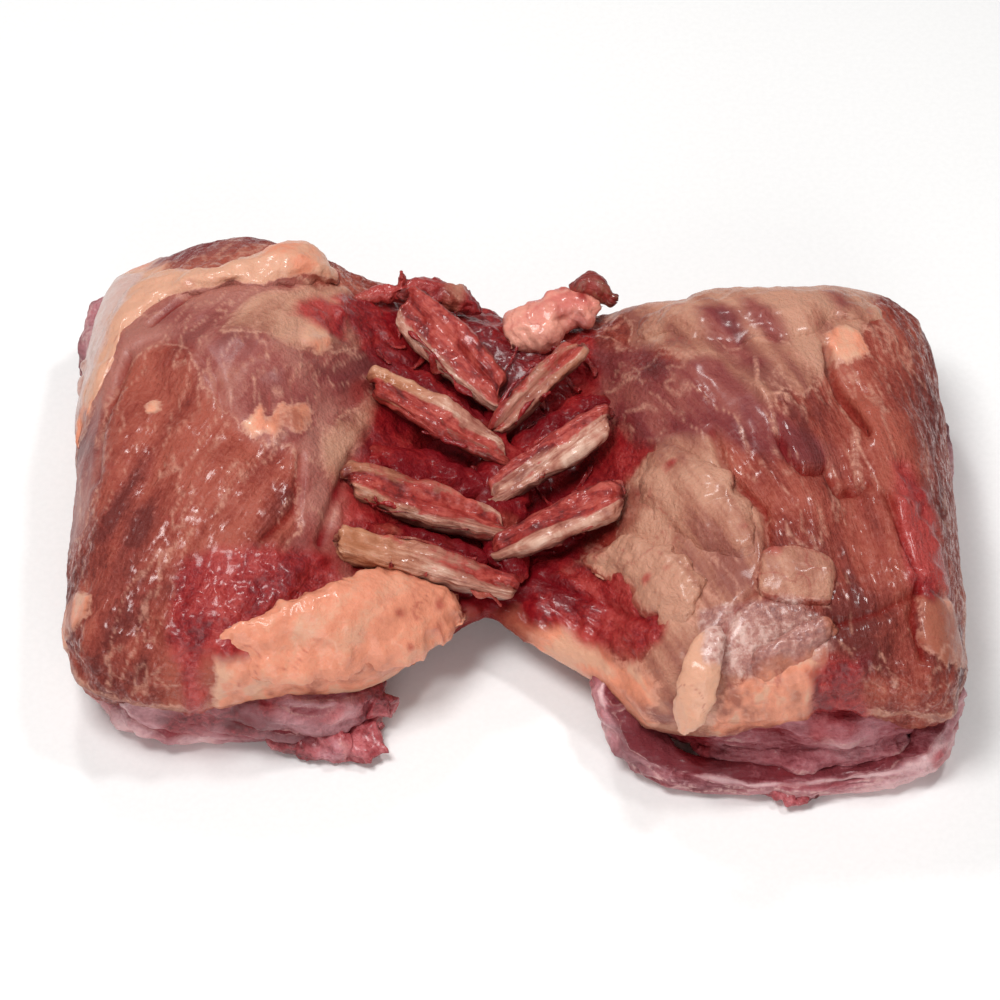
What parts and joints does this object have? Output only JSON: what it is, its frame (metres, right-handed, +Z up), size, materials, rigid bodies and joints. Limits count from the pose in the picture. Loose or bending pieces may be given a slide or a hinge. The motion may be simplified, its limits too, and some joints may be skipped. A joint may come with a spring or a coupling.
{
  "type": "raw lamb neck",
  "caption": "Raw lamb neck opened flat: two thick lobes of lean meat with rolled-under flaps, joined by a low bridge of cut rib ends, with pads of fat.",
  "frame": {"origin": "on the surface that the meat rests on, under the middle of the bridge", "axes": "+X right across both lobes, +Y along the spine towards the back edge, +Z up"},
  "size_m": [0.2625, 0.1833, 0.0642],
  "materials": {
    "lean": "raw, moist, soft sheen",
    "fat": "raw, greasy, soft gloss",
    "bone": "raw, wet, thin red film"
  },
  "bodies": {
    "root": {"meat": "lean", "fat_cap_left": "fat", "fat_flap_left": "fat", "fat_lump_rear": "fat", "fat_sheet_right": "fat", "fat_pad_right": "fat", "fat_pad_low": "fat", "fat_patch_right": "fat", "fat_tongue": "fat", "fat_strip_right": "fat", "rib_left_1": "bone", "rib_left_2": "bone", "rib_left_3": "bone", "rib_left_4": "bone", "rib_right_1": "bone", "rib_right_2": "bone", "rib_right_3": "bone", "bone_tip_rear": "bone"}
  },
  "joints": []
}
